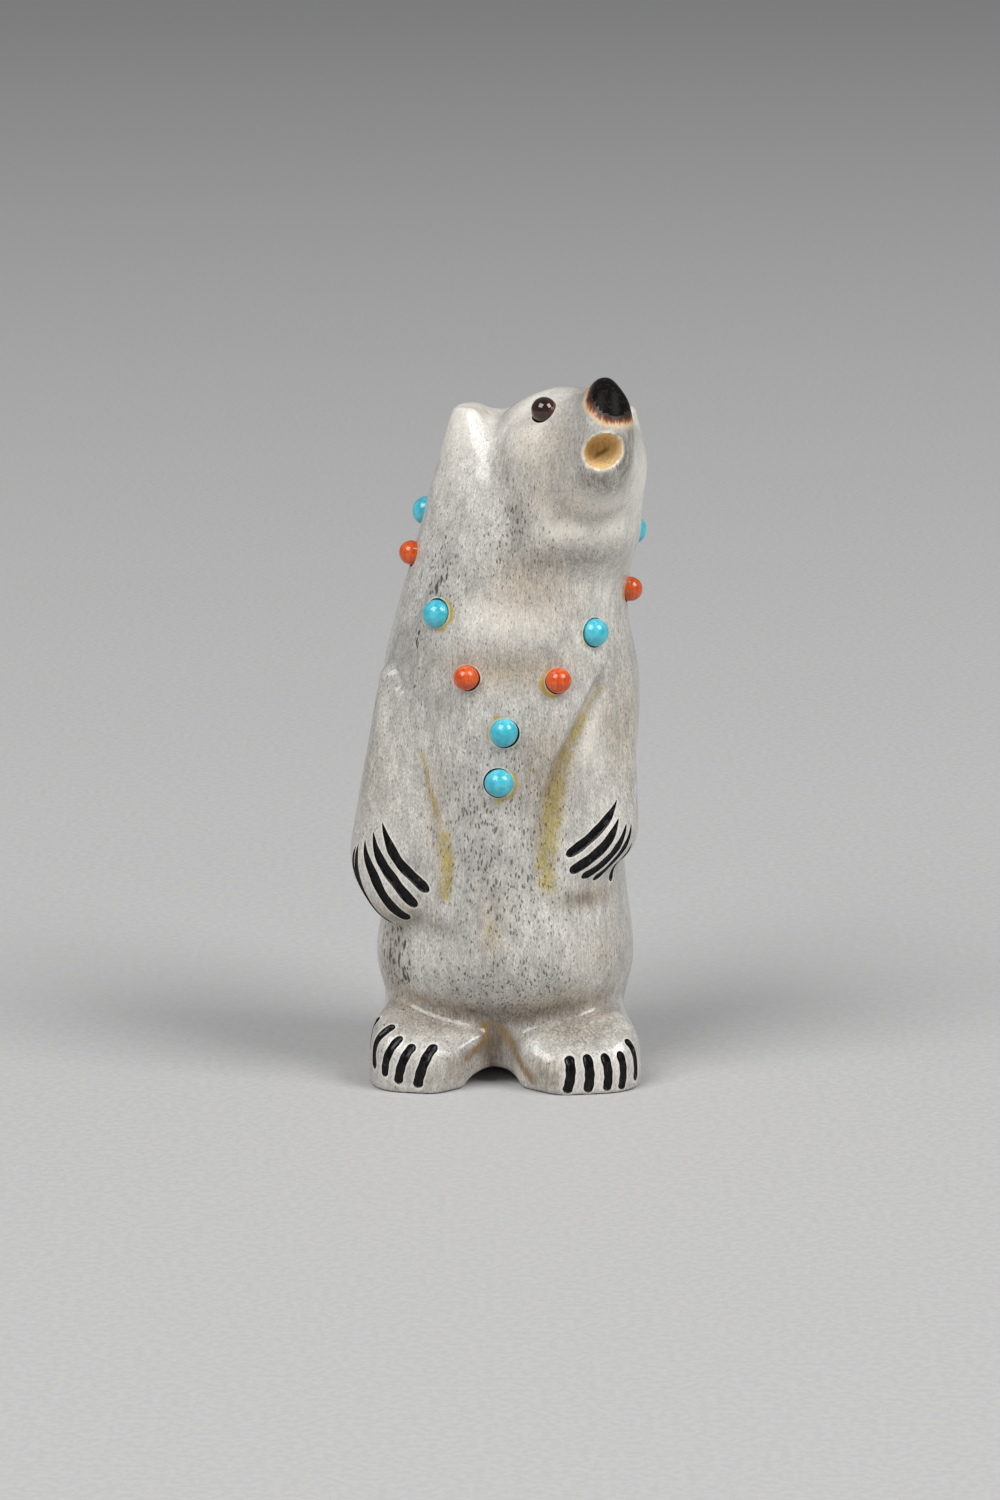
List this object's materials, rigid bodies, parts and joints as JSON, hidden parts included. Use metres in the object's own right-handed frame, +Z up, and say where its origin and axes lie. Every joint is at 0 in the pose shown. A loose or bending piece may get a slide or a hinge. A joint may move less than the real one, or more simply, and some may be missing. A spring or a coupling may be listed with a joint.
{
  "type": "carved standing bear figure",
  "caption": "Small bear carved upright from one piece of antler, head raised, with round stones set in a line across neck and chest. It stands on its feet.",
  "frame": {"origin": "on the flat underside of the feet, near the middle of the base", "axes": "+Z up, the bear's chest faces -Y, +X towards the bear's left"},
  "size_m": [0.0312, 0.0275, 0.075],
  "materials": {
    "antler": "satin",
    "dark_stone": "polished",
    "turquoise": "gloss",
    "coral": "gloss"
  },
  "bodies": {
    "root": {"body": "antler", "eye_right": "dark_stone", "eye_left": "dark_stone", "turquoise_01": "turquoise", "coral_02": "coral", "turquoise_03": "turquoise", "coral_04": "coral", "turquoise_05": "turquoise", "turquoise_06": "turquoise", "coral_07": "coral", "turquoise_08": "turquoise", "coral_09": "coral", "turquoise_10": "turquoise", "coral_11": "coral", "turquoise_12": "turquoise", "coral_13": "coral", "turquoise_14": "turquoise", "coral_15": "coral"}
  },
  "joints": []
}
